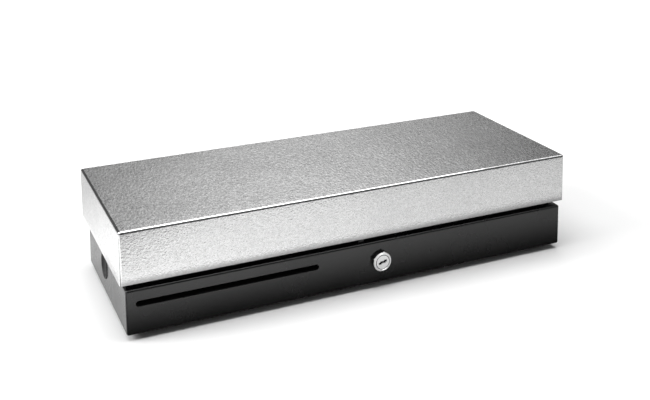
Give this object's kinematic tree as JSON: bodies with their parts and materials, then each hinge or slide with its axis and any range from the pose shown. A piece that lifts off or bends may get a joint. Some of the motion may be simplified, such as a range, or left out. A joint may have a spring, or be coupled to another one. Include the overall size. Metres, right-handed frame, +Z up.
{
  "type": "cash drawer",
  "caption": "Low flip-top cash drawer: grained steel lid hinged along its rear edge over a black steel case with a key lock and a cheque slot.",
  "frame": {"origin": "on the floor under the middle of the drawer, halfway along the overall depth from the face of the lock to the lid's rear skirt", "axes": "+Z up, +X to the right of a person facing the lock, +Y away from that person, towards the hinges"},
  "size_m": [0.46, 0.177, 0.1],
  "materials": {
    "case_paint": "fine-textured black powder coat",
    "frame_paint": "satin black powder coat",
    "lid_steel": "grain-rolled stainless sheet, satin",
    "tray_plastic": "moulded, fine spark-eroded texture",
    "cup_plastic": "moulded, satin inside",
    "plastic_black": "moulded",
    "zinc_steel": "bright zinc plated",
    "pin_steel": "ground",
    "spring_steel": "oiled spring wire",
    "lock_chrome": "polished plating",
    "rubber_black": "matt",
    "coil_wrap": "insulating tape",
    "switch_plastic": "moulded",
    "jack_plastic": "moulded",
    "cable_sheath": "flexible sheath"
  },
  "bodies": {
    "case": {"bolt_guide": "zinc_steel", "case_body": "case_paint", "coin_cup_1": "cup_plastic", "coin_cup_2": "cup_plastic", "coin_cup_3": "cup_plastic", "coin_cup_4": "cup_plastic", "coin_cup_5": "cup_plastic", "coin_cup_6": "cup_plastic", "coin_cup_7": "cup_plastic", "coin_cup_8": "cup_plastic", "foot_front_left": "rubber_black", "foot_front_right": "rubber_black", "foot_rear_left": "rubber_black", "foot_rear_right": "rubber_black", "foot_screws": "pin_steel", "hinge_case_leaf_left": "zinc_steel", "hinge_case_leaf_right": "zinc_steel", "hinge_pin_left": "pin_steel", "hinge_pin_right": "pin_steel", "hinge_screws": "pin_steel", "inner_frame": "frame_paint", "insert_tray": "tray_plastic", "interface_jack": "jack_plastic", "latch_bracket": "zinc_steel", "latch_pin": "pin_steel", "latch_switch": "switch_plastic", "lock_housing": "lock_chrome", "lock_nut": "lock_chrome", "media_slot_guide": "plastic_black", "plunger_spring": "spring_steel", "rest_buffer_left": "rubber_black", "rest_buffer_right": "rubber_black", "side_plug_left": "rubber_black", "side_plug_right": "rubber_black", "solenoid_coil": "coil_wrap", "solenoid_frame": "zinc_steel", "torsion_spring_left": "spring_steel", "torsion_spring_right": "spring_steel", "wiring_loom": "cable_sheath"},
    "lid": {"lid_shell": "lid_steel", "lid_stiffener": "zinc_steel", "lid_striker": "frame_paint", "hinge_lid_leaf_left": "zinc_steel", "hinge_lid_leaf_right": "zinc_steel", "rest_bracket_left": "zinc_steel", "rest_bracket_right": "zinc_steel"},
    "latch": {"latch_lever": "zinc_steel"},
    "plunger": {"solenoid_plunger": "zinc_steel", "link_pin": "pin_steel"},
    "button": {"switch_button": "switch_plastic"},
    "lock": {"lock_plug": "lock_chrome", "lock_crank": "zinc_steel"},
    "bolt": {"lock_bolt": "zinc_steel"}
  },
  "joints": [
    {"name": "lid_hinge", "type": "hinge", "parent": "case", "child": "lid", "pos_m": [0, 0.0829, 0.05], "axis": [-1, 0, 0], "range_deg": [0, 90]},
    {"name": "lock_turn", "type": "hinge", "parent": "case", "child": "lock", "pos_m": [0.0187, -0.0835, 0.0268], "axis": [0, -1, 0], "range_deg": [0, 90]},
    {"name": "lock_bolt_slide", "type": "slide", "parent": "case", "child": "bolt", "axis": [-1, 0, 0], "range_m": [0, 0.00425]},
    {"name": "latch_swing", "type": "hinge", "parent": "case", "child": "latch", "pos_m": [-0.0014, -0.0665, 0.015], "axis": [1, 0, 0], "range_deg": [0, 12]},
    {"name": "plunger_slide", "type": "slide", "parent": "case", "child": "plunger", "axis": [0, -1, 0], "range_m": [0, 0.0019]},
    {"name": "switch_button_slide", "type": "slide", "parent": "case", "child": "button", "axis": [0, 0, 1], "range_m": [0, 0.0011]}
  ],
  "couplings": [
    {"joint": "lock_bolt_slide", "follows": "lock_turn", "m_per_rad": 0.002701},
    {"joint": "plunger_slide", "follows": "latch_swing", "m_per_rad": 0.009},
    {"joint": "switch_button_slide", "follows": "latch_swing", "m_per_rad": 0.0052}
  ]
}
